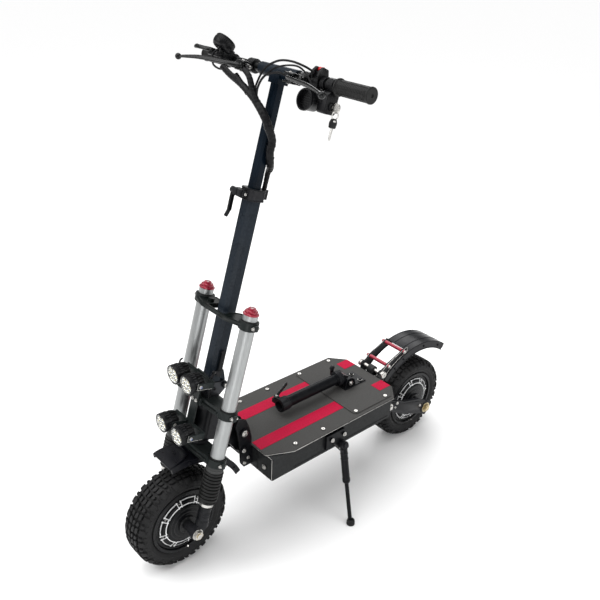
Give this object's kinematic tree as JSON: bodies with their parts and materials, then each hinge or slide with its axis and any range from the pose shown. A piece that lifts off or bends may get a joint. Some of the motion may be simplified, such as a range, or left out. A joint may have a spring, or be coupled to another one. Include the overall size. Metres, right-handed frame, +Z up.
{
  "type": "electric kick scooter",
  "caption": "Stand-on electric scooter with a folding telescopic stem, twin-tube fork, flat deck box, hub-motor wheels, swing-arm rear, lamps, kickstand and folding seat mast.",
  "frame": {"origin": "on the ground under the middle of the bounding box", "axes": "+X forward, +Y to the rider's left along the handlebar, +Z up"},
  "size_m": [1.202, 0.58, 1.3406],
  "materials": {
    "black_frame": "satin",
    "deck_metal": "satin",
    "grip_coat": "matte",
    "red_stripe": "satin",
    "zinc": "satin",
    "gold_zinc": "satin",
    "fork_alu": "satin",
    "red_anodised": "satin",
    "stem_paint": "satin",
    "black_alu": "satin",
    "spring_steel": "gloss",
    "black_plastic": "matte",
    "button_red": "gloss",
    "black_rubber": "matte",
    "tyre_rubber": "matte"
  },
  "bodies": {
    "chassis": {"deck_shell": "deck_metal", "deck_top_plate": "grip_coat", "rear_deck_plate": "grip_coat", "grip_stripes": "red_stripe", "deck_fasteners": "zinc", "battery_pack": "black_plastic", "controllers": "fork_alu", "neck_bracket": "black_frame", "head_tube": "black_frame", "headset_bearings": "zinc", "kickstand_bracket": "black_frame", "tail_plates": "black_frame", "spacer_bars": "red_anodised", "rear_fender": "black_plastic", "seat_hinge_base": "black_frame"},
    "fork_upper": {"upper_clamp": "black_frame", "lower_clamps": "black_frame", "steerer": "zinc", "fork_tubes": "fork_alu", "fork_caps": "red_anodised", "front_fender": "black_plastic", "lamp_bracket": "black_frame", "lamp_wires": "black_plastic", "stem_hinge": "stem_paint", "fork_boots": "black_rubber"},
    "stem_outer": {"stem_tube": "stem_paint", "stem_collar": "black_frame"},
    "fold_latch": {"fold_lever": "zinc"},
    "height_latch": {"height_lever": "black_frame"},
    "bar": {"bar_tube": "stem_paint", "handlebar": "black_alu", "grips": "black_rubber", "display": "black_plastic", "brake_perches": "black_alu", "bar_controls": "black_plastic", "cable_harness": "black_plastic"},
    "throttle": {"throttle_trigger": "black_frame"},
    "brake_left": {"brake_lever_left": "black_frame"},
    "brake_right": {"brake_lever_right": "black_frame"},
    "lamp_button": {"switch_button": "button_red"},
    "lock_key": {"key": "zinc"},
    "hanging_key": {"key_ring": "zinc"},
    "fork_lower": {"fork_legs": "black_frame", "front_axle": "gold_zinc"},
    "front_wheel": {"front_tyre": "tyre_rubber", "front_motor": "black_alu"},
    "rear_arm": {"swingarm": "black_frame", "rear_axle": "gold_zinc"},
    "rear_wheel": {"rear_tyre": "tyre_rubber", "rear_motor": "black_alu"},
    "damper_body": {"shock_body": "black_alu", "shock_spring": "spring_steel"},
    "damper_shaft": {"shock_shaft": "zinc"},
    "stand": {"kickstand": "black_frame"},
    "seat_mast": {"seat_post": "black_frame"},
    "seat_latch": {"seat_lever": "black_frame"},
    "lamp_1": {"headlamp_1": "black_alu"},
    "lamp_2": {"headlamp_2": "black_alu"},
    "lamp_3": {"headlamp_3": "black_alu"},
    "lamp_4": {"headlamp_4": "black_alu"}
  },
  "joints": [
    {"name": "steering", "type": "hinge", "parent": "chassis", "child": "fork_upper", "pos_m": [0.36891, 0, 0.41131], "axis": [-0.2689, 0, 0.9632], "range_deg": [-45, 45]},
    {"name": "fork_travel", "type": "slide", "parent": "fork_upper", "child": "fork_lower", "axis": [-0.2689, 0, 0.9632], "range_m": [0, 0.045], "stiffness_N_per_m": 8000, "springref_m": -0.045, "deforming": ["fork_boots"]},
    {"name": "front_wheel_spin", "type": "hinge", "parent": "fork_lower", "child": "front_wheel", "pos_m": [0.4585, 0, 0.1425], "axis": [0, 1, 0], "continuous": true},
    {"name": "stem_fold", "type": "hinge", "parent": "fork_upper", "child": "stem_outer", "pos_m": [0.3099, 0, 0.51112], "axis": [0, -1, 0], "range_deg": [0, 75]},
    {"name": "fold_lever_turn", "type": "hinge", "parent": "stem_outer", "child": "fold_latch", "pos_m": [0.32884, 0.024, 0.55482], "axis": [0, 1, 0], "range_deg": [0, 60]},
    {"name": "stem_height", "type": "slide", "parent": "stem_outer", "child": "bar", "axis": [-0.2689, 0, 0.9632], "range_m": [-0.2, 0], "deforming": ["cable_harness"]},
    {"name": "height_lever_turn", "type": "hinge", "parent": "stem_outer", "child": "height_latch", "pos_m": [0.23569, -0.033, 1.00744], "axis": [0, -1, 0], "range_deg": [0, 90]},
    {"name": "throttle_pull", "type": "hinge", "parent": "bar", "child": "throttle", "pos_m": [0.17, -0.206, 1.2985], "axis": [0.2689, 0, -0.9632], "range_deg": [0, 20], "stiffness_Nm_per_rad": 0.3, "springref_deg": -22.92},
    {"name": "brake_left_pull", "type": "hinge", "parent": "bar", "child": "brake_left", "pos_m": [0.17292, 0.084, 1.28063], "axis": [-0.2689, 0, 0.9632], "range_deg": [0, 12], "stiffness_Nm_per_rad": 1.5, "springref_deg": -17.19},
    {"name": "brake_right_pull", "type": "hinge", "parent": "bar", "child": "brake_right", "pos_m": [0.17292, -0.084, 1.28063], "axis": [0.2689, 0, -0.9632], "range_deg": [0, 12], "stiffness_Nm_per_rad": 1.5, "springref_deg": -17.19},
    {"name": "lamp_switch_press", "type": "slide", "parent": "bar", "child": "lamp_button", "axis": [0.2689, 0, -0.9632], "range_m": [0, 0.002], "stiffness_N_per_m": 300, "springref_m": -0.004},
    {"name": "key_turn", "type": "hinge", "parent": "bar", "child": "lock_key", "pos_m": [0.14241, 0.195, 1.23369], "axis": [0, 1, 0], "range_deg": [0, 90]},
    {"name": "key_ring_swing", "type": "hinge", "parent": "lock_key", "child": "hanging_key", "pos_m": [0.14618, 0.204, 1.22021], "axis": [0, 1, 0], "range_deg": [-30, 30]},
    {"name": "rear_swing", "type": "hinge", "parent": "chassis", "child": "rear_arm", "pos_m": [-0.2635, 0, 0.232], "axis": [0, 1, 0], "range_deg": [0, 12], "stiffness_Nm_per_rad": 220, "springref_deg": -20.05},
    {"name": "rear_wheel_spin", "type": "hinge", "parent": "rear_arm", "child": "rear_wheel", "pos_m": [-0.4585, 0, 0.1425], "axis": [0, 1, 0], "continuous": true},
    {"name": "damper_tilt", "type": "hinge", "parent": "chassis", "child": "damper_body", "pos_m": [-0.2865, 0, 0.313], "axis": [0, 1, 0], "range_deg": [0, 4]},
    {"name": "damper_stroke", "type": "slide", "parent": "damper_body", "child": "damper_shaft", "axis": [0.1093, 0, 0.994], "range_m": [0, 0.008], "deforming": ["shock_spring"]},
    {"name": "kickstand_fold", "type": "hinge", "parent": "chassis", "child": "stand", "pos_m": [-0.0185, 0.15, 0.232], "axis": [0.0246, 0.94, 0.3404], "range_deg": [0, 86]},
    {"name": "seat_mast_fold", "type": "hinge", "parent": "chassis", "child": "seat_mast", "pos_m": [-0.1565, 0, 0.327], "axis": [0, 1, 0], "range_deg": [-90, 0]},
    {"name": "seat_clamp_turn", "type": "hinge", "parent": "seat_mast", "child": "seat_latch", "pos_m": [0.0895, -0.029, 0.349], "axis": [0, 0, 1], "range_deg": [0, 80]},
    {"name": "lamp_1_tilt", "type": "hinge", "parent": "fork_upper", "child": "lamp_1", "pos_m": [0.40773, 0.03, 0.56231], "axis": [0, 1, 0], "range_deg": [-12, 12]},
    {"name": "lamp_2_tilt", "type": "hinge", "parent": "fork_upper", "child": "lamp_2", "pos_m": [0.40773, -0.03, 0.56231], "axis": [0, 1, 0], "range_deg": [-12, 12]},
    {"name": "lamp_3_tilt", "type": "hinge", "parent": "fork_upper", "child": "lamp_3", "pos_m": [0.44538, 0.036, 0.42747], "axis": [0, 1, 0], "range_deg": [-12, 12]},
    {"name": "lamp_4_tilt", "type": "hinge", "parent": "fork_upper", "child": "lamp_4", "pos_m": [0.44538, -0.036, 0.42747], "axis": [0, 1, 0], "range_deg": [-12, 12]}
  ],
  "couplings": [
    {"joint": "damper_tilt", "follows": "rear_swing", "ratio": 0.2327},
    {"joint": "damper_stroke", "follows": "rear_swing", "m_per_rad": 0.0316}
  ]
}
